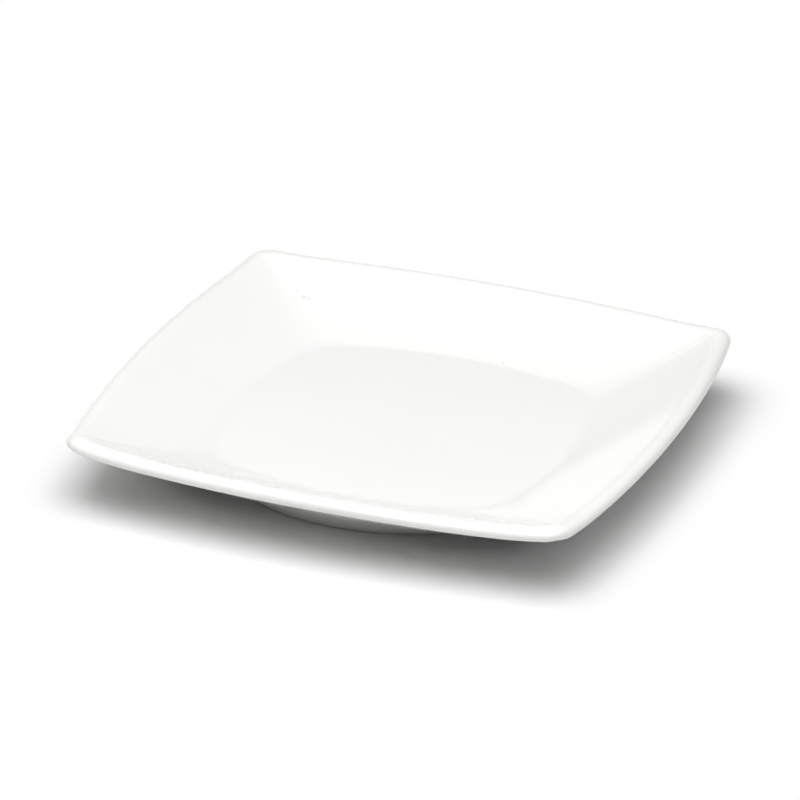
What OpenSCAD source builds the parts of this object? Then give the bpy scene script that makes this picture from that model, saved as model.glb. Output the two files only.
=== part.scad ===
// Square dinner plate in white glazed porcelain: a flat well with a bowed outline, walls that rise
// to a thick rounded rim, corners that turn up a little, and a round foot ring underneath.
// The origin is at the centre of the foot ring's bearing face, with Z up. All lengths are in mm.

/* [Plate] */
// Width across the middle of two opposite sides
plate_w = 260; // [220:1:320]
// Height of the rim's top at the middle of a side
plate_h = 32.5; // [30:0.1:37]
// How far the middle of a side stands out beyond its corners
side_bow = 10; // [4:0.5:16]
// Corner radius of the outer edge, seen from above
corner_r = 13; // [9:0.5:24]
// How far the corners turn up above the rest of the rim
corner_lift = 2; // [0:0.1:4]

/* [Wall and rim] */
// Width of the sloping wall, from the well to the outer edge
wall_w = 50.7; // [45:0.1:60]
// Width of the curves in which the wall's two faces leave their flat levels
wall_curve_w = 3.4; // [2:0.1:8]
// Width of the rim's rounded edge, seen from above
rim_w = 9.1; // [7:0.1:11]
// Height of the rim's rounded edge
rim_t = 6.5; // [5:0.1:8]
// Slope of the wall where it meets the rounded edge, in degrees
rim_slope = 30.4; // [26:0.1:33]

/* [Well] */
// How far the middle of a well side stands out beyond the well's corners
well_bow = 13; // [8:0.5:16]
// Corner radius of the well, seen from above
well_corner_r = 24; // [16:0.5:30]
// Height of the well floor above the table
floor_h = 12.8; // [11.5:0.1:15]
// Thickness of the base under the well
base_t = 4.3; // [3.5:0.1:6]

/* [Foot ring] */
// How far the foot ring stands out beyond the middle of the well's sides
foot_reach = 10; // [7:0.1:13]
// Thickness of the foot ring
foot_t = 6; // [4:0.1:9]
// Radius of the foot ring's two lower edges
foot_edge_r = 1.2; // [0.5:0.1:1.8]
// Radius of the fillets between the foot ring and the underside
foot_fillet_r = 2; // [1:0.1:2.5]
// Width of the flat underside left outside the foot ring's fillet
under_land = 3; // [2:0.5:6]

/* [Glaze] */
// Thickness of the fired glaze
glaze_t = 0.3; // [0.2:0.05:0.5]
// Height above the table at which the glaze on the foot ring stops
glaze_line_h = 2; // [1.9:0.1:4]

/* [Hidden] */

// Facet counts: along a side, round a corner, in the wall's curves, and up its inner and outer faces
side_n = 12;
corner_n = 8;
curve_n = 3;
wall_n = 6;
under_n = 4;
// Facet counts over the rounded edge: up to its top, down to its outermost line and back under
edge_up_n = 2;
edge_over_n = 4;
edge_back_n = 3;
// Facets of the round foot, where a preview draws it
$fn = 96;

// How closely the upturn keeps to the corners
lift_power = 8;
// How much faster the wall's corner radius shrinks near the well than near the rim
crease_power = 2;

// The rim's rounded edge is an oval in the section, and this is its centre
edge_x = plate_w / 2 - rim_w / 2;
edge_z = plate_h - rim_t / 2;
// Where the wall's inner and outer faces meet the rounded edge
inner_x = edge_station(90 + rim_slope)[0];
inner_z = edge_station(90 + rim_slope)[1];
outer_x = edge_station(rim_slope - 90)[0];
outer_z = edge_station(rim_slope - 90)[1];

// Foot ring, bare of glaze, under the lower part of the wall
well_x = plate_w / 2 - wall_w;
foot_r = well_x + foot_reach;
foot_inner_r = foot_r - foot_t;
foot_mid_r = foot_r - foot_t / 2;
// The fillets and the foot ring run into the base, so that they cross its underside
fillet_sink = foot_fillet_r / 20;
foot_sink = base_t / 4;

// Flat underside, over the glaze and bare, and where the wall leaves it
under_z = floor_h - base_t;
bare_under_z = under_z + glaze_t;
under_x = foot_r + foot_fillet_r + under_land;
// The underside's corners stand as far outside the well's as its sides do
under_corner_r = well_corner_r + under_x - well_x;
// The glaze of the underside and of the foot ring's outer side join and overlap on the flat
joint_r = foot_r + foot_fillet_r;
joint_lap = under_land / 4;

// How far each face of the wall goes out and up, from its flat level to the rounded edge
inner_run = inner_x - well_x;
inner_rise = inner_z - floor_h;
outer_run = outer_x - under_x;
outer_rise = outer_z - under_z;

function blend(from, to, share) = from + (to - from) * share;

// Height over its level and slope of a face of the wall, at a distance out from where it leaves it:
// the slope grows fast in a short curve, and from there evenly up to rim_slope
function wall_point(out, run, rise) =
    let (
        end = tan(rim_slope),
        start = (2 * rise - end * (run - wall_curve_w)) / run,
        growth = (end - start) / (run - wall_curve_w),
        low = min(out, wall_curve_w),
        high = max(0, out - wall_curve_w)
    )
    [start * (pow(low, 2) / (2 * wall_curve_w) + high) + growth * pow(high, 2) / 2,
     atan(start * low / wall_curve_w + growth * high)];

// A station of the section is [x, z, normal x, normal z, share of the way from the well to the rim]
function inner_station(out) =
    let (p = wall_point(out, inner_run, inner_rise))
    [well_x + out, floor_h + p[0], -sin(p[1]), cos(p[1]), out / inner_run];

function edge_station(a) =
    let (reach = norm([rim_w * cos(a), rim_t * sin(a)]))
    [edge_x + pow(rim_w, 2) * cos(a) / (2 * reach), edge_z + pow(rim_t, 2) * sin(a) / (2 * reach),
     cos(a), sin(a), 1];

function outer_station(out) =
    let (p = wall_point(out, outer_run, outer_rise))
    [under_x + out, under_z + p[0], sin(p[1]), -cos(p[1]), out / outer_run];

// The section of the glazed surface, from the well over the rim to the flat underside
top_part = [
    for (i = [0:curve_n - 1]) inner_station(wall_curve_w * i / curve_n),
    for (i = [0:wall_n - 1]) inner_station(blend(wall_curve_w, inner_run, i / wall_n))];
edge_part = [
    for (i = [0:edge_up_n - 1]) edge_station(blend(90 + rim_slope, 90, i / edge_up_n)),
    for (i = [0:edge_over_n - 1]) edge_station(blend(90, 0, i / edge_over_n)),
    for (i = [0:edge_back_n]) edge_station(blend(0, rim_slope - 90, i / edge_back_n))];
under_part = [
    for (i = [under_n - 1:-1:0]) outer_station(blend(wall_curve_w, outer_run, i / under_n)),
    for (i = [curve_n - 1:-1:0]) outer_station(wall_curve_w * i / curve_n)];

// Outline of one station: quarter by quarter, each point with the outline's normal there
function outline(x, bow, r) =
    let (
        big_r = (pow(x - bow, 2) + pow(bow, 2)) / (2 * bow),
        centre = x - big_r,
        q = (centre + sqrt(2 * pow(big_r - r, 2) - pow(centre, 2))) / 2,
        turn = atan2(q, q - centre),
        side = [for (i = [0:side_n - 1])
            let (a = turn * (2 * i / side_n - 1))
            [centre + big_r * cos(a), big_r * sin(a), cos(a), sin(a)]],
        corner = [for (i = [0:corner_n - 1])
            let (a = blend(turn, 90 - turn, i / corner_n))
            [q + r * cos(a), q + r * sin(a), cos(a), sin(a)]]
    )
    [for (k = [0:3]) for (p = concat(side, corner)) concat(turned([p[0], p[1]], k), turned([p[2], p[3]], k))];

// A plan vector turned by quarters of a turn
function turned(v, quarters) =
    let (c = cos(90 * quarters), s = sin(90 * quarters))
    [v.x * c - v.y * s, v.x * s + v.y * c];

// Bow and corner radius of a station's outline: from those of its flat level to those of the rim
function station_bow(s) = blend(well_bow, side_bow, s[4]);
function station_corner(s, level_corner_r) =
    blend(level_corner_r, corner_r - plate_w / 2 + inner_x, 1 - pow(1 - s[4], crease_power))
    + max(0, s[0] - inner_x);

// The ring of points at a station, a depth below the glazed surface, turned up at the corners
function ring(s, level_corner_r, depth) =
    let (
        points = outline(s[0], station_bow(s), station_corner(s, level_corner_r)),
        apex = max([for (p = points) min(abs(p[0]), abs(p[1]))]),
        lift = corner_lift * pow(s[4], 2)
    )
    [for (p = points)
        [p[0] - depth * s[2] * p[2],
         p[1] - depth * s[2] * p[3],
         s[1] - depth * s[3] + lift * pow(min(abs(p[0]), abs(p[1])) / apex, lift_power)]];

// All rings of the plate's surface, and a round ring that follows the last one's points
function rings(depth) = concat(
    [for (s = concat(top_part, edge_part)) ring(s, well_corner_r, depth)],
    [for (s = under_part) ring(s, under_corner_r, depth)]);
function round_ring(points, r) = [for (p = points) concat([p.x, p.y] * r / norm([p.x, p.y]), p.z)];

// A closed solid through a list of rings, capped at the first and at the last
module loft(rings) {
    n = len(rings[0]);
    last = (len(rings) - 1) * n;
    sides = [for (j = [0:len(rings) - 2]) for (i = [0:n - 1])
        let (a = j * n + i, b = j * n + (i + 1) % n)
        each [[a, b, b + n], [a, b + n, a + n]]];
    caps = [[for (i = [n - 1:-1:0]) i], [for (i = [0:n - 1]) last + i]];
    polyhedron(points = [for (r = rings) each r], faces = concat(sides, caps));
}

// Section of the foot ring and of the flat underside, grown by a depth of glaze
module foot_section(grow) {
    translate([foot_inner_r - grow, foot_edge_r])
        square([foot_t + 2 * grow, bare_under_z + foot_sink - foot_edge_r]);
    for (side = [-1, 1])
        translate([foot_mid_r + side * (foot_t / 2 + foot_fillet_r),
                   bare_under_z + fillet_sink - foot_fillet_r])
            difference() {
                translate([side < 0 ? 0 : -foot_fillet_r - foot_sink, 0])
                    square([foot_fillet_r + foot_sink, foot_fillet_r + foot_sink]);
                circle(foot_fillet_r - grow);
            }
}

// The foot ring's round lower edges and bearing face
module bearing_section() {
    translate([foot_inner_r + foot_edge_r, 0])
        square([foot_t - 2 * foot_edge_r, 2 * foot_edge_r]);
    for (x = [foot_inner_r + foot_edge_r, foot_r - foot_edge_r])
        translate([x, foot_edge_r])
            circle(foot_edge_r);
}

// Section of the glaze on the foot and underside between two radii
module glaze_section(from_r, to_r) {
    intersection() {
        difference() {
            union() {
                foot_section(glaze_t);
                translate([0, under_z])
                    square([to_r, glaze_t + foot_sink]);
            }
            foot_section(0);
            translate([0, bare_under_z])
                square([to_r + glaze_t, 2 * foot_sink]);
        }
        translate([from_r, glaze_line_h])
            square([to_r - from_r, bare_under_z - glaze_line_h]);
    }
}

// The fired body: well, walls, rim and foot ring in one piece, with the bearing face bare
module porcelain_body() {
    color("linen") {
        loft(rings(glaze_t));
        rotate_extrude() {
            foot_section(0);
            bearing_section();
        }
    }
}

// The glaze over the well, walls and rim, and back under the plate to the foot ring's outer side
module face_glaze() {
    bare = rings(glaze_t);
    over = rings(0);
    last = len(over) - 1;
    color("white") {
        loft(concat(over, [round_ring(over[last], joint_r), round_ring(bare[last], joint_r)],
            [for (i = [last:-1:0]) bare[i]]));
        rotate_extrude()
            glaze_section(foot_mid_r, joint_r + joint_lap);
    }
}

// The glaze on the underside within the foot ring, cut off from the rest by the bare bearing face
module foot_recess_glaze() {
    color("whitesmoke")
        rotate_extrude()
            glaze_section(0, foot_mid_r);
}

porcelain_body();
face_glaze();
foot_recess_glaze();
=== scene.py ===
"""Looks of the square dinner plate: glazed white porcelain on a plain pale floor.

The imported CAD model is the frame. Each of its three nodes is replaced by a finer piece of the
same form, made from the same sizes. All lengths are in metres.
"""

import logging
import math
from collections.abc import Iterable, Sequence
from dataclasses import dataclass, replace
from enum import Enum

import bpy
import numpy as np
from mathutils import Matrix, Vector


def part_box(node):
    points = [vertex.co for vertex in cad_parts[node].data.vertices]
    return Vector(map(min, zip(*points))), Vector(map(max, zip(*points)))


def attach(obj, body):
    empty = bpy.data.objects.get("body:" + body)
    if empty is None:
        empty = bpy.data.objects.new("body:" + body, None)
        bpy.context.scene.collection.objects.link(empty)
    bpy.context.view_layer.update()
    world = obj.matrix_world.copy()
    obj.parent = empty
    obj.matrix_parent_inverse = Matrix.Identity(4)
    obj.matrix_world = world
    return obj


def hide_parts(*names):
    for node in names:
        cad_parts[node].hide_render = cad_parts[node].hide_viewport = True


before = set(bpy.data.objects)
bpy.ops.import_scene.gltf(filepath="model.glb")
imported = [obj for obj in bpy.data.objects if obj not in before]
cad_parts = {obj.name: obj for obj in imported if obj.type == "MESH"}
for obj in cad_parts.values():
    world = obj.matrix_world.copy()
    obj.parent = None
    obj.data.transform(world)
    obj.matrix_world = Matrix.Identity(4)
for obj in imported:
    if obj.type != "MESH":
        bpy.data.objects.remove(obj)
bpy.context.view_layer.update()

log = logging.getLogger("square_dinner_plate")

BODY = "root"
UP = 90  # degrees above the level
GLASS_IOR = 1.5
WHITE = (1, 1, 1, 1)

Tone = tuple[float, float, float, float]
Amount = float | np.ndarray


class CadNode(Enum):
    """The CAD nodes that a piece can stand for."""

    PORCELAIN = "porcelain_body"
    FACE_GLAZE = "face_glaze"
    RECESS_GLAZE = "foot_recess_glaze"


class Slot(Enum):
    """The record's material slots."""

    BARE = "bare_porcelain"
    GLAZE = "white_glaze"
    RECESS = "recess_glaze"


class Attribute(Enum):
    """Values that the pieces carry at each vertex, for their finishes."""

    POOLING = "glaze_pooling"
    THINNING = "glaze_thinning"


@dataclass(frozen=True)
class PlateSizes:
    """The plate's sizes, named as in the CAD source. Angles are in degrees.

    The values after crease_power are for this script alone: how the glaze pools, how it ends in a
    bead on the foot ring, and how its line was wiped, as waves with their count, start and share.
    """

    plate_w: float
    plate_h: float
    side_bow: float = 0.010
    corner_r: float = 0.013
    corner_lift: float = 0.002
    wall_w: float = 0.0507
    wall_curve_w: float = 0.0034
    rim_w: float = 0.0091
    rim_t: float = 0.0065
    rim_slope: float = 30.4
    well_bow: float = 0.013
    well_corner_r: float = 0.024
    floor_h: float = 0.0128
    base_t: float = 0.0043
    foot_reach: float = 0.01
    foot_t: float = 0.006
    foot_edge_r: float = 0.0012
    foot_fillet_r: float = 0.002
    under_land: float = 0.003
    glaze_t: float = 0.0003
    glaze_line_h: float = 0.002
    fillet_sink: float = 0.05
    lift_power: float = 8.0
    crease_power: float = 2.0
    pool_reach: float = 1.2
    fillet_lead: float = 0.00012
    lead_pooling: float = 0.6
    bead_share: float = 0.9
    bead_steps: int = 6
    bead_pooling: float = 0.8
    side_shares: tuple[float, ...] = (0.1, 0.5, 0.95)
    back_shares: tuple[float, ...] = (0.05, 0.5, 0.95)
    wipe_height: float = 0.00005
    wipe_waves: tuple[tuple[float, float, float], ...] = ((3, 0.7, 1), (7, 2.1, 0.6), (16, 0, 0.4))

    @classmethod
    def from_frame(cls) -> "PlateSizes":
        """Takes the width and the height from the CAD model."""
        low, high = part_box(CadNode.FACE_GLAZE.value)
        return cls(plate_w=high.x - low.x, plate_h=high.z - cls.corner_lift)


@dataclass(frozen=True)
class Facets:
    """How finely the plate's surfaces are divided."""

    side: int = 64
    corner: int = 24
    floor: int = 9
    curve: int = 16
    wall: int = 40
    edge_up: int = 12
    edge_over: int = 28
    edge_back: int = 14
    under: int = 20
    land: int = 5
    fillet: int = 8
    foot_side: int = 5
    foot_edge: int = 6


@dataclass(frozen=True)
class Station:
    """One point of the plate's section, with its normal and its share of the way to the rim."""

    x: float
    z: float
    normal_x: float
    normal_z: float
    share: float


@dataclass(frozen=True)
class Ring:
    """One closed ring of points, with the glaze's pooling and thinning there, from 0 to 1."""

    points: np.ndarray
    pooling: float = 0.0
    thinning: float = 0.0


def blend(start: Amount, end: Amount, share: float) -> Amount:
    """Goes a share of the way from one value to another."""
    return start + (end - start) * share


def spread(start: float, end: float, count: int, last: bool = False) -> list[float]:
    """Divides a stretch into equal steps.

    Args:
        start: Where the stretch starts.
        end: Where it ends.
        count: The number of steps.
        last: Whether the end itself is listed too.

    Returns:
        The values at the start of each step, and the end if asked for.
    """
    return [blend(start, end, i / count) for i in range(count + int(last))]


@dataclass(frozen=True)
class PlateForm:
    """The form of the plate's surfaces, from which all three pieces are made."""

    sizes: PlateSizes
    facets: Facets = Facets()

    @property
    def hidden(self) -> "PlateForm":
        """The same form with fewer facets, for the surfaces that lie between two pieces."""
        few = {"curve": 8, "wall": 12, "edge_up": 4, "edge_over": 10, "edge_back": 6, "under": 8}
        return replace(self, facets=replace(self.facets, **few))

    @property
    def well_x(self) -> float:
        """Half the well's width."""
        return self.sizes.plate_w / 2 - self.sizes.wall_w

    @property
    def foot_r(self) -> float:
        """Outer radius of the bare foot ring."""
        return self.well_x + self.sizes.foot_reach

    @property
    def foot_inner_r(self) -> float:
        """Inner radius of the bare foot ring."""
        return self.foot_r - self.sizes.foot_t

    @property
    def under_z(self) -> float:
        """Height of the flat underside, over its glaze."""
        return self.sizes.floor_h - self.sizes.base_t

    @property
    def under_x(self) -> float:
        """Half the width of the flat underside."""
        return self.foot_r + self.sizes.foot_fillet_r + self.sizes.under_land

    @property
    def under_corner_r(self) -> float:
        """Corner radius of the flat underside."""
        return self.sizes.well_corner_r + self.under_x - self.well_x

    @property
    def fillet_z(self) -> float:
        """Height of the centres of the foot ring's fillets."""
        sizes = self.sizes
        return self.under_z + sizes.glaze_t - (1 - sizes.fillet_sink) * sizes.foot_fillet_r

    def edge_station(self, angle: float) -> Station:
        """Gives a point of the rounded edge, which is an oval in the section.

        Args:
            angle: The direction of its normal, in degrees above the level.

        Returns:
            The station there.
        """
        half_w, half_t = self.sizes.rim_w / 2, self.sizes.rim_t / 2
        c, s = math.cos(math.radians(angle)), math.sin(math.radians(angle))
        reach = math.hypot(half_w * c, half_t * s)
        x = self.sizes.plate_w / 2 - half_w + half_w**2 * c / reach
        z = self.sizes.plate_h - half_t + half_t**2 * s / reach
        return Station(x, z, c, s, 1)

    def wall_station(
        self, out: float, level: tuple[float, float], end: Station, side: int
    ) -> Station:
        """Gives a point of the wall's inner or outer face.

        The face's slope grows fast in a short curve, and from there evenly up to the rounded edge.

        Args:
            out: How far out from its level the point lies.
            level: Where the face leaves the level, as half width and height.
            end: Where the face meets the rounded edge.
            side: 1 for the inner face, which looks up, and -1 for the outer face.

        Returns:
            The station there.
        """
        run, rise, curve_w = end.x - level[0], end.z - level[1], self.sizes.wall_curve_w
        last = math.tan(math.radians(self.sizes.rim_slope))
        start = (2 * rise - last * (run - curve_w)) / run
        growth = (last - start) / (run - curve_w)
        low, high = min(out, curve_w), max(0.0, out - curve_w)
        z = start * (low**2 / (2 * curve_w) + high) + growth * high**2 / 2
        angle = math.atan(start * low / curve_w + growth * high)
        normal_x, normal_z = -side * math.sin(angle), side * math.cos(angle)
        return Station(level[0] + out, level[1] + z, normal_x, normal_z, out / run)

    @property
    def inner_end(self) -> Station:
        """Where the wall's inner face meets the rounded edge."""
        return self.edge_station(UP + self.sizes.rim_slope)

    @property
    def outer_end(self) -> Station:
        """Where the wall's outer face meets the rounded edge."""
        return self.edge_station(self.sizes.rim_slope - UP)

    @property
    def inner_run(self) -> float:
        """How far the wall's inner face goes out, from the well to the rounded edge."""
        return self.inner_end.x - self.well_x

    @property
    def outer_run(self) -> float:
        """How far the wall's outer face goes out, from the underside to the rounded edge."""
        return self.outer_end.x - self.under_x

    def inner_station(self, out: float) -> Station:
        """Gives the point of the inner face at a distance out from the well."""
        return self.wall_station(out, (self.well_x, self.sizes.floor_h), self.inner_end, 1)

    def outer_station(self, out: float) -> Station:
        """Gives the point of the outer face at a distance out from the underside."""
        return self.wall_station(out, (self.under_x, self.under_z), self.outer_end, -1)

    def outline(self, x: float, bow: float, corner_r: float) -> tuple[np.ndarray, np.ndarray]:
        """Draws a square outline with bowed sides and round corners.

        Args:
            x: Half the width across the middle of two sides.
            bow: How far the middle of a side stands out beyond its corners.
            corner_r: The corners' radius.

        Returns:
            The outline's points and its normals, as rows of two numbers.
        """
        big_r = ((x - bow) ** 2 + bow**2) / (2 * bow)
        centre = x - big_r
        reach = big_r - corner_r
        q = (centre + math.sqrt(2 * reach**2 - centre**2)) / 2
        turn = math.atan2(q, q - centre)
        side = np.array(spread(-turn, turn, self.facets.side))
        corner = np.array(spread(turn, math.pi / 2 - turn, self.facets.corner))
        angles = np.concatenate([side, corner])
        normals = np.stack([np.cos(angles), np.sin(angles)], axis=1)
        radii = np.repeat([big_r, corner_r], [len(side), len(corner)])
        centres = np.repeat([[centre, 0], [q, q]], [len(side), len(corner)], axis=0)
        points = centres + radii[:, None] * normals
        turned_points, turned_normals = [points], [normals]
        quarter = np.array([[0.0, 1.0], [-1.0, 0.0]])
        for _ in range(3):
            turned_points.append(turned_points[-1] @ quarter)
            turned_normals.append(turned_normals[-1] @ quarter)
        return np.concatenate(turned_points), np.concatenate(turned_normals)

    def ring(self, station: Station, level_corner_r: float, depth: float) -> np.ndarray:
        """Draws the ring of points at a station, turned up at the corners.

        Args:
            station: The station of the section.
            level_corner_r: The corner radius where the wall leaves its level.
            depth: How far below the glazed surface the ring lies.

        Returns:
            The ring's points, as rows of three numbers.
        """
        sizes = self.sizes
        inner_x = self.inner_end.x
        bow = blend(sizes.well_bow, sizes.side_bow, station.share)
        rim_corner_r = sizes.corner_r - sizes.plate_w / 2 + inner_x
        change = 1 - (1 - station.share) ** sizes.crease_power
        corner_r = blend(level_corner_r, rim_corner_r, change) + max(0.0, station.x - inner_x)
        points, normals = self.outline(station.x, bow, corner_r)
        nearness = np.abs(points).min(axis=1)
        turned_up = (nearness / nearness.max()) ** sizes.lift_power
        lift = sizes.corner_lift * station.share**2 * turned_up
        plan = points - depth * station.normal_x * normals
        return np.column_stack([plan, station.z - depth * station.normal_z + lift])

    def round_ring(self, r: float, z: Amount) -> np.ndarray:
        """Draws a round ring whose points follow the underside's outline.

        Args:
            r: The ring's radius.
            z: Its height, or one height for each point.

        Returns:
            The ring's points, as rows of three numbers.
        """
        points = self.ring(self.outer_station(0), self.under_corner_r, 0)[:, :2]
        plan = points * r / np.linalg.norm(points, axis=1)[:, None]
        return np.column_stack([plan, np.broadcast_to(z, len(plan))])

    def upper_rings(self, depth: float) -> list[Ring]:
        """Draws the surface from the middle of the well over the rim to the flat underside.

        Args:
            depth: How far below the glazed surface it lies.

        Returns:
            The rings, in that order.
        """
        sizes, facets = self.sizes, self.facets
        edge_of_well = self.ring(self.inner_station(0), sizes.well_corner_r, depth)
        rings = []
        for share in spread(0, 1, facets.floor)[1:]:
            flat = edge_of_well.copy()
            flat[:, :2] *= 1 - (1 - share) ** 2
            rings.append(Ring(flat))
        curve_w = sizes.wall_curve_w
        for out in spread(0, curve_w, facets.curve) + spread(curve_w, self.inner_run, facets.wall):
            pooling = math.exp(-((out / (sizes.pool_reach * curve_w)) ** 2))
            points = self.ring(self.inner_station(out), sizes.well_corner_r, depth)
            rings.append(Ring(points, pooling))
        angles = spread(UP + sizes.rim_slope, UP, facets.edge_up)
        angles += spread(UP, 0, facets.edge_over)
        angles += spread(0, sizes.rim_slope - UP, facets.edge_back, last=True)
        for angle in angles:
            thinning = max(0.0, math.cos(math.radians(angle - UP / 2))) ** 2
            station = self.edge_station(angle)
            rings.append(Ring(self.ring(station, sizes.well_corner_r, depth), thinning=thinning))
        outs = spread(0, curve_w, facets.curve) + spread(curve_w, self.outer_run, facets.under)
        for out in reversed(outs):
            rings.append(Ring(self.ring(self.outer_station(out), self.under_corner_r, depth)))
        return rings

    def land_rings(self, depth: float, z: float) -> list[Ring]:
        """Draws the flat underside from the wall's end to the foot ring's fillet.

        Args:
            depth: How far below the glazed surface it lies.
            z: Its height.

        Returns:
            The rings after the wall's end, up to the fillet.
        """
        start = self.ring(self.outer_station(0), self.under_corner_r, depth)
        end = self.round_ring(self.foot_r + self.sizes.foot_fillet_r, z)
        shares = spread(0, 1, self.facets.land, last=True)[1:]
        return [Ring(blend(start, end, share)) for share in shares]

    def fillet_rings(self, r: float, side: int, depth: float, z: float) -> list[Ring]:
        """Draws one of the foot ring's fillets, from the flat underside down to the ring's face.

        Args:
            r: Radius of the bare face of the foot ring.
            side: 1 for the outer fillet and -1 for the inner one.
            depth: How far outside the bare surface it lies.
            z: Height of the underside that it leaves.

        Returns:
            The rings, from the underside down.
        """
        centre_r = r + side * self.sizes.foot_fillet_r
        arc_r = self.sizes.foot_fillet_r - depth
        start = math.asin((z - self.fillet_z) / arc_r)
        lead_r = centre_r - side * (arc_r * math.cos(start) - self.sizes.fillet_lead)
        rings = [Ring(self.round_ring(lead_r, z), pooling=self.sizes.lead_pooling)]
        for angle in spread(start, 0, self.facets.fillet, last=True):
            ring_r = centre_r - side * arc_r * math.cos(angle)
            ring_z = self.fillet_z + arc_r * math.sin(angle)
            rings.append(Ring(self.round_ring(ring_r, ring_z), pooling=1.0))
        return rings

    def glaze_line(self) -> np.ndarray:
        """Gives the height where the foot ring's glaze stops, at each point of a round ring."""
        points = self.round_ring(1, 0)
        turn = np.arctan2(points[:, 1], points[:, 0])
        height = self.sizes.glaze_line_h
        for count, start, share in self.sizes.wipe_waves:
            height = height + self.sizes.wipe_height * share * (1 + np.sin(count * turn + start))
        return height


def lofted_mesh(name: str, rings: Sequence[Ring], top: float, bottom: float) -> bpy.types.Mesh:
    """Makes a closed mesh through rings of points, from a point on the axis to another one.

    Args:
        name: The mesh's name.
        rings: The rings, which go outward from the top.
        top: Height of the first point on the axis.
        bottom: Height of the last point on the axis.

    Returns:
        The mesh, with its faces smooth and the rings' values at its vertices.
    """
    count = len(rings[0].points)
    points = np.vstack([ring.points for ring in rings] + [[0, 0, top], [0, 0, bottom]])
    first, last, end = len(points) - 2, len(points) - 1, len(points) - 2 - count
    steps = [(a, (a + 1) % count) for a in range(count)]
    faces = [(first, a, b) for a, b in steps]
    for inner in range(0, end, count):
        outer = inner + count
        faces += [(inner + a, outer + a, outer + b, inner + b) for a, b in steps]
    faces += [(end + a, last, end + b) for a, b in steps]
    mesh = bpy.data.meshes.new(name)
    mesh.from_pydata(points.tolist(), [], faces)
    for kind, values in (
        (Attribute.POOLING, [ring.pooling for ring in rings]),
        (Attribute.THINNING, [ring.thinning for ring in rings]),
    ):
        layer = mesh.attributes.new(kind.value, "FLOAT", "POINT")
        at_vertices = np.append(np.repeat(values, count), [0, 0])
        layer.data.foreach_set("value", at_vertices.astype(np.float32))
    mesh.polygons.foreach_set("use_smooth", [True] * len(mesh.polygons))
    mesh.validate()
    mesh.update()
    return mesh


def place(name: str, mesh: bpy.types.Mesh, finish: bpy.types.Material) -> bpy.types.Object:
    """Puts a mesh in the scene as a piece.

    Args:
        name: The piece's name.
        mesh: Its mesh.
        finish: Its material.

    Returns:
        The new object, at the origin.
    """
    piece = bpy.data.objects.new(name, mesh)
    bpy.context.scene.collection.objects.link(piece)
    mesh.materials.append(finish)
    return piece


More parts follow.
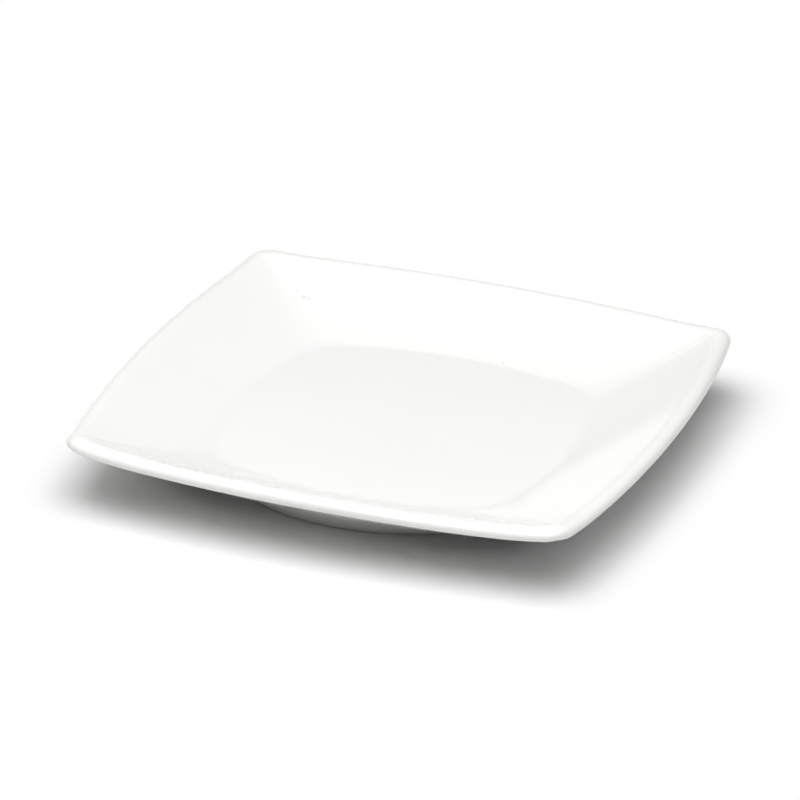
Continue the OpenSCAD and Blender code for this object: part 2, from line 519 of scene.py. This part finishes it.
class NodeBench:
    """Places and joins the nodes of one node tree."""

    def __init__(self, tree: bpy.types.NodeTree) -> None:
        """Starts on a tree, whose nodes are cleared."""
        self.tree = tree
        tree.nodes.clear()

    def add(self, kind: str, settings: dict | None = None, **inputs: object) -> bpy.types.Node:
        """Places one node.

        Args:
            kind: The node's type, without its common prefix.
            settings: Values of the node's own settings.
            inputs: Values or joined sockets, by input name with _ for a space, or by number as
                in n0.

        Returns:
            The new node.
        """
        node = self.tree.nodes.new(kind)
        for name, value in (settings or {}).items():
            setattr(node, name, value)
        for name, value in inputs.items():
            known = name[1:].isdigit() and name[0] == "n"
            socket = node.inputs[int(name[1:])] if known else node.inputs[name.replace("_", " ")]
            if isinstance(value, bpy.types.NodeSocket):
                self.tree.links.new(value, socket)
            else:
                socket.default_value = value
        return node

    def maths(self, operation: str, *values: object, clamp: bool = False) -> bpy.types.NodeSocket:
        """Places a Math node.

        Args:
            operation: The sum that it does.
            values: Its inputs, as numbers or sockets.
            clamp: Whether the result is kept between 0 and 1.

        Returns:
            The socket of its result.
        """
        named = {f"n{i}": value for i, value in enumerate(values)}
        settings = {"operation": operation, "use_clamp": clamp}
        return self.add("ShaderNodeMath", settings, **named).outputs[0]

    def fade(self, value: bpy.types.NodeSocket, start: float, end: float) -> bpy.types.NodeSocket:
        """Turns a value into a mask that rises smoothly from 0 at start to 1 at end.

        Args:
            value: The value.
            start: Where the mask is 0.
            end: Where the mask is 1.

        Returns:
            The mask's socket.
        """
        settings = {"interpolation_type": "SMOOTHSTEP"}
        ramp = self.add("ShaderNodeMapRange", settings, Value=value, From_Min=start, From_Max=end)
        return ramp.outputs["Result"]

    def mix(self, mask: object, lower: object, upper: object) -> bpy.types.NodeSocket:
        """Lays one colour over another.

        Args:
            mask: How much of the upper colour shows, from 0 to 1.
            lower: The lower colour.
            upper: The upper colour.

        Returns:
            The socket of the mixed colour.
        """
        settings = {"data_type": "RGBA"}
        return self.add("ShaderNodeMix", settings, n0=mask, n6=lower, n7=upper).outputs[2]

    def shade(self, mask: object, first: bpy.types.Node, second: bpy.types.Node) -> bpy.types.Node:
        """Lays one shader over another.

        Args:
            mask: How much of the second shader shows, from 0 to 1.
            first: The lower shader.
            second: The upper shader.

        Returns:
            The node of the mixed shader.
        """
        shaders = {"n1": first.outputs[0], "n2": second.outputs[0]}
        return self.add("ShaderNodeMixShader", n0=mask, **shaders)

    def noise(self, scale: object, detail: float) -> bpy.types.NodeSocket:
        """Places a soft noise that is fixed to the piece.

        Args:
            scale: How fine it is, per metre.
            detail: How many finer layers it holds.

        Returns:
            The socket of its value.
        """
        settings = {"Vector": self.where(), "Scale": scale, "Detail": detail}
        return self.add("ShaderNodeTexNoise", **settings).outputs["Fac"]

    def where(self) -> bpy.types.NodeSocket:
        """Gives the socket of the place on the piece, in metres."""
        return self.add("ShaderNodeTexCoord").outputs["Object"]

    def carried(self, attribute: Attribute) -> bpy.types.NodeSocket:
        """Gives the socket of a value that the piece carries at its vertices."""
        settings = {"attribute_name": attribute.value}
        return self.add("ShaderNodeAttribute", settings).outputs["Fac"]

    def group(self, tree: bpy.types.NodeTree, **inputs: object) -> bpy.types.Node:
        """Places a node group.

        Args:
            tree: The group.
            inputs: Its inputs, as for add.

        Returns:
            The new node.
        """
        return self.add("ShaderNodeGroup", {"node_tree": tree}, **inputs)


FLOAT, COLOUR, NORMAL = "NodeSocketFloat", "NodeSocketColor", "NodeSocketVector"
PLAIN = (0.8, 0.8, 0.8, 1)


def new_group(
    name: str, inputs: Iterable[tuple[str, str, object]], outputs: Iterable[tuple[str, str]]
) -> tuple[bpy.types.NodeTree, NodeBench, bpy.types.NodeInputs, bpy.types.NodeInputs]:
    """Starts a shader node group with named inputs and outputs.

    Args:
        name: The group's name.
        inputs: Name, socket type and standing value of each input.
        outputs: Name and socket type of each output.

    Returns:
        The group, its bench, the sockets that are given and the sockets that it fills.
    """
    group = bpy.data.node_groups.new(name, "ShaderNodeTree")
    for label, kind, value in inputs:
        socket = group.interface.new_socket(label, in_out="INPUT", socket_type=kind)
        socket.default_value = value
    for label, kind in outputs:
        group.interface.new_socket(label, in_out="OUTPUT", socket_type=kind)
    bench = NodeBench(group)
    given, result = bench.add("NodeGroupInput"), bench.add("NodeGroupOutput")
    return group, bench, given.outputs, result.inputs


class KilnEffects:
    """The node groups that the plate's finishes share."""

    CLOUD_DETAIL = 3.0
    CLOUD_EDGES = (0.35, 0.68)
    RIPPLE_DETAIL = 1.5
    GRAIN_DETAIL = 2.0
    SMUDGE_SCALE = 18.0
    SMUDGE_DETAIL = 4.0
    SMUDGE_EDGES = (0.3, 0.75)

    def __init__(self) -> None:
        """Builds each group once."""
        self.fired_tone = self.make_fired_tone()
        self.kiln_specks = self.make_kiln_specks()
        self.fired_skin = self.make_fired_skin()

    def make_fired_tone(self) -> bpy.types.NodeTree:
        """Builds the cloudy change of tone that firing leaves over a surface.

        Returns:
            The group, with the colour as its output.
        """
        group, bench, given, result = new_group(
            "fired_tone",
            [
                ("Tone", COLOUR, PLAIN),
                ("Cloud Tone", COLOUR, PLAIN),
                ("Cloud Scale", FLOAT, 12.0),
                ("Pool Tone", COLOUR, PLAIN),
                ("Pooling", FLOAT, 0.0),
            ],
            [("Color", COLOUR)],
        )
        cloud = bench.fade(bench.noise(given["Cloud Scale"], self.CLOUD_DETAIL), *self.CLOUD_EDGES)
        clouded = bench.mix(cloud, given["Tone"], given["Cloud Tone"])
        pooled = bench.mix(given["Pooling"], clouded, given["Pool Tone"])
        group.links.new(pooled, result["Color"])
        return group

    def make_kiln_specks(self) -> bpy.types.NodeTree:
        """Builds the few tiny specks that every firing leaves.

        Returns:
            The group, with the specks' mask as its output.
        """
        group, bench, given, result = new_group(
            "kiln_specks",
            [("Cell Scale", FLOAT, 110.0), ("Speck Size", FLOAT, 0.03), ("Rarity", FLOAT, 0.7)],
            [("Mask", FLOAT)],
        )
        settings = {"Vector": bench.where(), "Scale": given["Cell Scale"]}
        cells = bench.add("ShaderNodeTexVoronoi", **settings)
        near = bench.maths("LESS_THAN", cells.outputs["Distance"], given["Speck Size"])
        pick = bench.add("ShaderNodeSeparateColor", n0=cells.outputs["Color"]).outputs[0]
        rare = bench.maths("GREATER_THAN", pick, given["Rarity"])
        group.links.new(bench.maths("MULTIPLY", near, rare), result["Mask"])
        return group

    def make_fired_skin(self) -> bpy.types.NodeTree:
        """Builds the slow ripple and fine grain of a fired surface, with its uneven gloss.

        Returns:
            The group, with the roughness and the normal as its outputs.
        """
        group, bench, given, result = new_group(
            "fired_skin",
            [
                ("Ripple Scale", FLOAT, 45.0),
                ("Ripple Height", FLOAT, 0.00001),
                ("Grain Scale", FLOAT, 600.0),
                ("Grain Height", FLOAT, 0.000001),
                ("Roughness", FLOAT, 0.08),
                ("Roughness Spread", FLOAT, 0.02),
            ],
            [("Roughness", FLOAT), ("Normal", NORMAL)],
        )
        ripple = bench.noise(given["Ripple Scale"], self.RIPPLE_DETAIL)
        grain = bench.noise(given["Grain Scale"], self.GRAIN_DETAIL)
        rise = bench.maths("MULTIPLY", ripple, given["Ripple Height"])
        height = bench.maths("ADD", rise, bench.maths("MULTIPLY", grain, given["Grain Height"]))
        bump = bench.add("ShaderNodeBump", Strength=1.0, Distance=1.0, Height=height)
        smudge = bench.fade(bench.noise(self.SMUDGE_SCALE, self.SMUDGE_DETAIL), *self.SMUDGE_EDGES)
        uneven = bench.maths("MULTIPLY", smudge, given["Roughness Spread"])
        group.links.new(bench.maths("ADD", given["Roughness"], uneven), result["Roughness"])
        group.links.new(bump.outputs[0], result["Normal"])
        return group


def new_material(name: str) -> tuple[bpy.types.Material, NodeBench]:
    """Starts a material, and gives it with the bench of its node tree."""
    material = bpy.data.materials.new(name)
    material.use_nodes = True
    return material, NodeBench(material.node_tree)


@dataclass(frozen=True)
class Specks:
    """Tiny dark specks: their cells per metre, size and rarity, and how strongly they show."""

    cell_scale: float
    size: float
    rarity: float
    strength: float
    tone: Tone

    def mask(self, bench: NodeBench, effects: KilnEffects) -> bpy.types.NodeSocket:
        """Places the specks.

        Args:
            bench: The bench of the material.
            effects: The shared node groups.

        Returns:
            The socket of their mask.
        """
        scattered = bench.group(
            effects.kiln_specks,
            Cell_Scale=self.cell_scale,
            Speck_Size=self.size,
            Rarity=self.rarity,
        )
        return bench.maths("MULTIPLY", scattered.outputs["Mask"], self.strength)


@dataclass(frozen=True)
class Skin:
    """The ripple and grain of a surface, per metre and in metres, and its roughness."""

    ripple_scale: float
    ripple_height: float
    grain_scale: float
    grain_height: float
    roughness: float
    roughness_spread: float

    def close(self, bench: NodeBench, effects: KilnEffects, colour: object) -> None:
        """Gives a material its fired surface.

        Args:
            bench: The bench of the material.
            effects: The shared node groups.
            colour: The socket of the surface's colour.
        """
        skin = bench.group(
            effects.fired_skin,
            Ripple_Scale=self.ripple_scale,
            Ripple_Height=self.ripple_height,
            Grain_Scale=self.grain_scale,
            Grain_Height=self.grain_height,
            Roughness=self.roughness,
            Roughness_Spread=self.roughness_spread,
        ).outputs
        shader = bench.add(
            "ShaderNodeBsdfPrincipled",
            Base_Color=colour,
            Roughness=skin["Roughness"],
            Normal=skin["Normal"],
            IOR=GLASS_IOR,
        )
        bench.add("ShaderNodeOutputMaterial", Surface=shader.outputs[0])


@dataclass(frozen=True)
class GlazeFinish:
    """Clear glossy glaze over white porcelain, with marks given as x, y, z and radius."""

    name: str
    tone: Tone = (0.867, 0.867, 0.851, 1)
    cloud_tone: Tone = (0.859, 0.861, 0.847, 1)
    pool_tone: Tone = (0.852, 0.858, 0.847, 1)
    thin_tone: Tone = (0.865, 0.859, 0.835, 1)
    cloud_scale: float = 14.0
    specks: Specks = Specks(
        cell_scale=95.0, size=0.028, rarity=0.62, strength=0.7, tone=(0.20, 0.15, 0.10, 1)
    )
    skin: Skin = Skin(
        ripple_scale=42.0,
        ripple_height=0.000005,
        grain_scale=700.0,
        grain_height=0.0000006,
        roughness=0.06,
        roughness_spread=0.03,
    )
    marks: tuple[tuple[float, float, float, float], ...] = ()
    mark_core: float = 0.25
    mark_strength: float = 0.2

    def make(self, effects: KilnEffects) -> bpy.types.Material:
        """Builds the material.

        Args:
            effects: The shared node groups.

        Returns:
            The material.
        """
        material, bench = new_material(self.name)
        tone = bench.group(
            effects.fired_tone,
            Tone=self.tone,
            Cloud_Tone=self.cloud_tone,
            Cloud_Scale=self.cloud_scale,
            Pool_Tone=self.pool_tone,
            Pooling=bench.carried(Attribute.POOLING),
        ).outputs["Color"]
        thinned = bench.mix(bench.carried(Attribute.THINNING), tone, self.thin_tone)
        blemish, where = self.specks.mask(bench, effects), bench.where()
        for *point, r in self.marks:
            settings = {"operation": "DISTANCE"}
            away = bench.add("ShaderNodeVectorMath", settings, n0=where, n1=point)
            mark = bench.fade(away.outputs["Value"], r, r * self.mark_core)
            faint = bench.maths("MULTIPLY", mark, self.mark_strength)
            blemish = bench.maths("MAXIMUM", blemish, faint)
        self.skin.close(bench, effects, bench.mix(blemish, thinned, self.specks.tone))
        return material


@dataclass(frozen=True)
class BareFinish:
    """Unglazed fired porcelain: matt and finely grained, a little worn where it stands."""

    name: str
    tone: Tone = (0.800, 0.780, 0.725, 1)
    cloud_tone: Tone = (0.745, 0.725, 0.670, 1)
    worn_tone: Tone = (0.600, 0.580, 0.540, 1)
    cloud_scale: float = 70.0
    specks: Specks = Specks(
        cell_scale=260.0, size=0.10, rarity=0.82, strength=0.6, tone=(0.22, 0.17, 0.12, 1)
    )
    skin: Skin = Skin(
        ripple_scale=220.0,
        ripple_height=0.00002,
        grain_scale=2600.0,
        grain_height=0.00003,
        roughness=0.72,
        roughness_spread=0.16,
    )
    worn_height: float = 0.0006
    scuff_scale: float = 160.0
    scuff_detail: float = 6.0
    scuff_edges: tuple[float, float] = (0.48, 0.66)
    wear: float = 0.7

    def make(self, effects: KilnEffects) -> bpy.types.Material:
        """Builds the material.

        Args:
            effects: The shared node groups.

        Returns:
            The material.
        """
        material, bench = new_material(self.name)
        tone = bench.group(
            effects.fired_tone,
            Tone=self.tone,
            Cloud_Tone=self.cloud_tone,
            Cloud_Scale=self.cloud_scale,
        ).outputs["Color"]
        height = bench.add("ShaderNodeSeparateXYZ", n0=bench.where()).outputs[2]
        low = bench.fade(height, self.worn_height, 0.0)
        scuffs = bench.fade(bench.noise(self.scuff_scale, self.scuff_detail), *self.scuff_edges)
        worn = bench.maths("MULTIPLY", bench.maths("MULTIPLY", low, scuffs), self.wear)
        scuffed = bench.mix(worn, tone, self.worn_tone)
        speckled = bench.mix(self.specks.mask(bench, effects), scuffed, self.specks.tone)
        self.skin.close(bench, effects, speckled)
        return material


@dataclass(frozen=True)
class PorcelainBody:
    """The fired body, seen only where the foot ring is bare of glaze."""

    form: PlateForm
    centre_shares: tuple[float, ...] = (0.99, 0.9, 0.6, 0.3)
    bearing_shares: tuple[float, ...] = (0.03, 0.5, 0.97)

    def mesh(self) -> bpy.types.Mesh:
        """Builds the body's mesh.

        Returns:
            A closed mesh.
        """
        form, sizes = self.form, self.form.sizes
        depth, flat_z = sizes.glaze_t, form.under_z + sizes.glaze_t
        rings = form.hidden.upper_rings(depth)
        rings += form.land_rings(depth, flat_z)
        rings += form.fillet_rings(form.foot_r, 1, 0, flat_z)
        rings += self.foot_rings(sizes.foot_edge_r)
        rings += reversed(form.fillet_rings(form.foot_inner_r, -1, 0, flat_z))
        for share in self.centre_shares:
            r = form.foot_inner_r * share - sizes.foot_fillet_r
            rings.append(Ring(form.round_ring(r, flat_z)))
        return lofted_mesh("porcelain_body_form", rings, sizes.floor_h - depth, flat_z)

    def foot_rings(self, edge_r: float) -> list[Ring]:
        """Draws the bare foot ring, from its outer face under its bearing face to its inner face.

        Args:
            edge_r: Radius of its two lower edges.

        Returns:
            The rings, in that order.
        """
        form, facets = self.form, self.form.facets
        section = []
        for z in spread(form.fillet_z, edge_r, facets.foot_side)[1:]:
            section.append((form.foot_r, z))
        for angle in spread(0, -UP, facets.foot_edge, last=True):
            c, s = math.cos(math.radians(angle)), math.sin(math.radians(angle))
            section.append((form.foot_r - edge_r + edge_r * c, edge_r + edge_r * s))
        middle = (form.foot_r + form.foot_inner_r) / 2
        inner = [(2 * middle - r, z) for r, z in reversed(section)]
        ends = section[-1][0], inner[0][0]
        bearing = [(blend(*ends, share), 0.0) for share in self.bearing_shares]
        return [Ring(form.round_ring(r, z)) for r, z in section + bearing + inner]

    def make(self, effects: KilnEffects) -> bpy.types.Object:
        """Builds the piece and dresses it.

        Args:
            effects: The shared node groups.

        Returns:
            The piece.
        """
        finish = BareFinish("bare_fired_porcelain").make(effects)
        piece = place("porcelain_body_piece", self.mesh(), finish)
        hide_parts(CadNode.PORCELAIN.value)
        return piece


@dataclass(frozen=True)
class FaceGlaze:
    """The glaze over the well, the walls and the rim, and back under to the foot ring."""

    form: PlateForm
    marks: tuple[tuple[float, float, float, float], ...] = (
        (-0.0914, 0.0981, 0.0244, 0.0012),
        (-0.0870, 0.0955, 0.0229, 0.0018),
        (-0.0842, 0.0955, 0.0226, 0.0013),
    )

    def mesh(self) -> bpy.types.Mesh:
        """Builds the glaze's mesh: its shining surface, and the surface that lies on the body.

        Returns:
            A closed mesh.
        """
        form, sizes = self.form, self.form.sizes
        flat_z = form.under_z + sizes.glaze_t
        over = form.upper_rings(0) + form.land_rings(0, form.under_z)
        over += form.fillet_rings(form.foot_r, 1, sizes.glaze_t, form.under_z)
        under = form.hidden.upper_rings(sizes.glaze_t) + form.land_rings(sizes.glaze_t, flat_z)
        under += form.fillet_rings(form.foot_r, 1, 0, flat_z)
        side = glaze_side_rings(form, form.foot_r, 1)
        rings = over + side + list(reversed(under))
        return lofted_mesh("face_glaze_form", rings, sizes.floor_h, sizes.floor_h - sizes.glaze_t)

    def make(self, effects: KilnEffects) -> bpy.types.Object:
        """Builds the piece and dresses it.

        Args:
            effects: The shared node groups.

        Returns:
            The piece.
        """
        finish = GlazeFinish("white_plate_glaze", marks=self.marks).make(effects)
        piece = place("face_glaze_piece", self.mesh(), finish)
        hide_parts(CadNode.FACE_GLAZE.value)
        return piece


@dataclass(frozen=True)
class RecessGlaze:
    """The glaze on the underside, inside the foot ring, with the rings that turning leaves.

    The turned rings are waves along the radius, and they fade out in the middle and at the edge.
    """

    form: PlateForm
    ring_count: int = 60
    turned_height: float = 0.00003
    fine_wave: float = 900.0
    slow_wave: float = 211.0
    slow_start: float = 1.0
    quiet_middle: float = 0.02
    quiet_edge: float = 0.006

    def mesh(self) -> bpy.types.Mesh:
        """Builds the glaze's closed mesh, with faint turned rings in its flat."""
        form, sizes = self.form, self.form.sizes
        flat_z = form.under_z + sizes.glaze_t
        inner_r = form.foot_inner_r - sizes.foot_fillet_r
        radii = spread(0, inner_r, self.ring_count)[1:]
        back = [Ring(form.round_ring(r, flat_z)) for r in radii]
        back += form.fillet_rings(form.foot_inner_r, -1, 0, flat_z)
        front = [Ring(form.round_ring(r, self.turned_z(r))) for r in radii]
        front += form.fillet_rings(form.foot_inner_r, -1, sizes.glaze_t, form.under_z)
        side = glaze_side_rings(form, form.foot_inner_r, -1)
        rings = back + list(reversed(side)) + list(reversed(front))
        return lofted_mesh("foot_recess_glaze_form", rings, flat_z, form.under_z)

    def turned_z(self, r: float) -> float:
        """Gives the height of the glazed recess at a radius, with its turned rings.

        Args:
            r: The radius.

        Returns:
            The height.
        """
        fading = min(1.0, r / self.quiet_middle)
        fading *= min(1.0, (self.form.foot_inner_r - r) / self.quiet_edge)
        wave = math.sin(r * self.fine_wave) * math.sin(r * self.slow_wave + self.slow_start)
        return self.form.under_z + self.turned_height * fading * (1 + wave)

    def make(self, effects: KilnEffects) -> bpy.types.Object:
        """Builds the piece and dresses it.

        Args:
            effects: The shared node groups.

        Returns:
            The piece.
        """
        rougher = {"roughness": 0.10, "roughness_spread": 0.06}
        finish = GlazeFinish(
            "white_recess_glaze",
            tone=(0.870, 0.868, 0.845, 1),
            cloud_tone=(0.855, 0.852, 0.826, 1),
            skin=replace(GlazeFinish.skin, ripple_scale=60.0, ripple_height=0.00002, **rougher),
        ).make(effects)
        piece = place("foot_recess_glaze_piece", self.mesh(), finish)
        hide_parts(CadNode.RECESS_GLAZE.value)
        return piece


def glaze_side_rings(form: PlateForm, r: float, side: int) -> list[Ring]:
    """Draws the glaze on one face of the foot ring, down to its rounded end and back behind it.

    Args:
        form: The plate's form.
        r: Radius of the foot ring's bare face.
        side: 1 for the outer face and -1 for the inner one.

    Returns:
        The rings, down the shining surface and then up the surface on the body.
    """
    sizes, line = form.sizes, form.glaze_line()
    glaze_t, bead = sizes.glaze_t, sizes.glaze_t * sizes.bead_share
    downward = [blend(form.fillet_z, line + bead, share) for share in sizes.side_shares]
    rings = [Ring(form.round_ring(r + side * glaze_t, z)) for z in downward]
    for angle in spread(0, UP, sizes.bead_steps, last=True):
        c, s = math.cos(math.radians(angle)), math.sin(math.radians(angle))
        points = form.round_ring(r + side * glaze_t * c, line + bead * (1 - s))
        rings.append(Ring(points, pooling=sizes.bead_pooling))
    upward = [blend(line + bead, form.fillet_z, share) for share in sizes.back_shares]
    return rings + [Ring(form.round_ring(r, z)) for z in upward]


@dataclass(frozen=True)
class Softbox:
    """A square soft light, set out from the plate's middle and turned to face it."""

    name: str
    side: float
    high: float
    toward: float
    left: float
    level: float

    def hang(self, toward: Vector, left: Vector) -> bpy.types.Object:
        """Hangs the light.

        Args:
            toward: The level direction to the camera.
            left: The level direction to the camera's left.

        Returns:
            The lamp.
        """
        lamp = bpy.data.lights.new(self.name, "AREA")
        lamp.shape = "SQUARE"
        lamp.size = self.side
        lamp.energy = self.level * math.pi * self.side**2
        softbox = bpy.data.objects.new(self.name, lamp)
        bpy.context.scene.collection.objects.link(softbox)
        softbox.location = toward * self.toward + left * self.left + Vector((0, 0, self.high))
        softbox.rotation_euler = softbox.location.to_track_quat("Z", "Y").to_euler()
        softbox.visible_camera = False
        return softbox


@dataclass(frozen=True)
class Studio:
    """The floor, the soft light and the camera.

    The floor is open under the foot ring, within open_r, so that light reaches the underside when
    the plate is looked at from below.
    """

    open_r: float
    softboxes: tuple[Softbox, ...] = (
        Softbox("near_softbox", side=1.3, high=1.15, toward=0.35, left=0.0, level=3.48),
        Softbox("left_softbox", side=1.3, high=1.15, toward=0.0, left=0.35, level=1.00),
    )
    horizon_level: float = 0.65
    horizon_falloff: float = 3.4
    front_share: float = 0.45
    floor_reach: float = 6.0
    floor_drop: float = 0.00005
    floor_tone: float = 0.785
    shadow_reach: tuple[float, float] = (0.130, 0.156)
    shadow_squareness: float = 8.0
    lens: float = 318.18
    azimuth: float = 20.05
    elevation: float = 24.89
    roll: float = 1.57
    distance: float = 3.2697
    aside: float = -0.00191
    above: float = 0.02324
    farthest: float = 30.0

    @property
    def toward(self) -> Vector:
        """The level direction from the plate to the camera."""
        turn = math.radians(self.azimuth)
        return Vector((math.sin(turn), -math.cos(turn), 0))

    def make_floor(self) -> bpy.types.Object:
        """Lays a pale floor that keeps the plate's shadow, and looks white further off.

        Returns:
            The floor.
        """
        material, bench = new_material("pale_floor")
        path = bench.add("ShaderNodeLightPath").outputs
        seen = bench.maths("MAXIMUM", path["Is Camera Ray"], path["Is Glossy Ray"])
        seen = bench.maths("MAXIMUM", seen, path["Is Transmission Ray"])
        where, squareness = bench.where(), self.shadow_squareness
        across = bench.add("ShaderNodeSeparateXYZ", n0=where).outputs
        sides = [bench.maths("ABSOLUTE", across[axis]) for axis in range(2)]
        powers = [bench.maths("POWER", side, squareness) for side in sides]
        far = bench.maths("POWER", bench.maths("ADD", *powers), 1 / squareness)
        open_floor = bench.maths("MULTIPLY", seen, bench.fade(far, *self.shadow_reach))
        matt = bench.add("ShaderNodeBsdfDiffuse", Color=(self.floor_tone,) * 3 + (1,))
        white = bench.add("ShaderNodeEmission", Color=WHITE, Strength=1.0)
        top = bench.shade(open_floor, matt, white)
        below = bench.add("ShaderNodeNewGeometry").outputs["Backfacing"]
        out = bench.add("ShaderNodeVectorMath", {"operation": "LENGTH"}, n0=where).outputs["Value"]
        see_through = bench.maths("MAXIMUM", below, bench.maths("LESS_THAN", out, self.open_r))
        both = bench.shade(see_through, top, bench.add("ShaderNodeBsdfTransparent"))
        bench.add("ShaderNodeOutputMaterial", Surface=both.outputs[0])
        reach, z = self.floor_reach, -self.floor_drop
        mesh = bpy.data.meshes.new("pale_floor_form")
        corners = [(-reach, -reach), (reach, -reach), (reach, reach), (-reach, reach)]
        mesh.from_pydata([(x, y, z) for x, y in corners], [], [(0, 1, 2, 3)])
        floor = place("pale_floor", mesh, material)
        return floor

    def make_lights(self) -> list[bpy.types.Object]:
        """Hangs the soft lights above the plate."""
        left = Vector((self.toward.y, -self.toward.x, 0))
        return [softbox.hang(self.toward, left) for softbox in self.softboxes]

    def make_world(self) -> bpy.types.World:
        """Surrounds the plate with a dim room that is palest at the horizon behind it.

        To the eye the room is white. Glossy rays meet the dim room, which the glaze mirrors.

        Returns:
            The world.
        """
        world = bpy.data.worlds.new("studio_room")
        world.use_nodes = True
        bench = NodeBench(world.node_tree)
        path = bench.add("ShaderNodeLightPath").outputs
        seen = bench.maths("MAXIMUM", path["Is Camera Ray"], path["Is Transmission Ray"])
        way = bench.add("ShaderNodeTexCoord").outputs["Generated"]
        rise = bench.add("ShaderNodeSeparateXYZ", n0=way).outputs[2]
        lowness = bench.maths("SUBTRACT", 1.0, rise, clamp=True)
        dimming = bench.maths("POWER", lowness, self.horizon_falloff)
        settings = {"operation": "DOT_PRODUCT"}
        behind = bench.add("ShaderNodeVectorMath", settings, n0=way, n1=-self.toward)
        half = (1 - self.front_share) / 2
        turned = bench.maths("MULTIPLY_ADD", behind.outputs["Value"], half, 1 - half)
        paleness = bench.maths("MULTIPLY", dimming, turned)
        strength = bench.maths("MULTIPLY", paleness, self.horizon_level)
        room = bench.add("ShaderNodeBackground", Color=WHITE, Strength=strength)
        white = bench.add("ShaderNodeBackground", Color=WHITE, Strength=1.0)
        mix = bench.shade(seen, room, white)
        bench.add("ShaderNodeOutputWorld", Surface=mix.outputs[0])
        bpy.context.scene.world = world
        return world

    def make_camera(self) -> bpy.types.Object:
        """Sets the camera where the photograph was taken from.

        Returns:
            The camera.
        """
        angles = self.azimuth, self.elevation, self.roll
        turn, tilt, roll = (math.radians(angle) for angle in angles)
        back = self.toward * math.cos(tilt) + Vector((0, 0, math.sin(tilt)))
        right = Vector((math.cos(turn), math.sin(turn), 0))
        up = back.cross(right)
        level_right = right * math.cos(roll) + up * math.sin(roll)
        level_up = up * math.cos(roll) - right * math.sin(roll)
        data = bpy.data.cameras.new("photo_camera")
        data.lens = self.lens
        data.clip_end = self.farthest
        camera = bpy.data.objects.new("photo_camera", data)
        bpy.context.scene.collection.objects.link(camera)
        pose = Matrix((level_right, level_up, back)).transposed().to_4x4()
        pose.translation = back * self.distance + right * self.aside + up * self.above
        camera.matrix_world = pose
        bpy.context.scene.camera = camera
        return camera

    def make(self) -> None:
        """Sets up the whole studio."""
        self.make_floor()
        self.make_lights()
        self.make_world()
        self.make_camera()
        bpy.context.scene.view_settings.view_transform = "Standard"


def main() -> None:
    """Builds the plate's pieces and the studio, and reports each piece."""
    logging.basicConfig(level=logging.INFO, format="%(name)s: %(message)s")
    effects = KilnEffects()
    form = PlateForm(PlateSizes.from_frame())
    for part in (PorcelainBody(form), FaceGlaze(form), RecessGlaze(form)):
        piece = part.make(effects)
        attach(piece, BODY)
        log.info("%s: %d faces", piece.name, len(piece.data.polygons))
    Studio(open_r=form.foot_r - form.sizes.foot_edge_r).make()


if __name__ == "__main__":
    main()
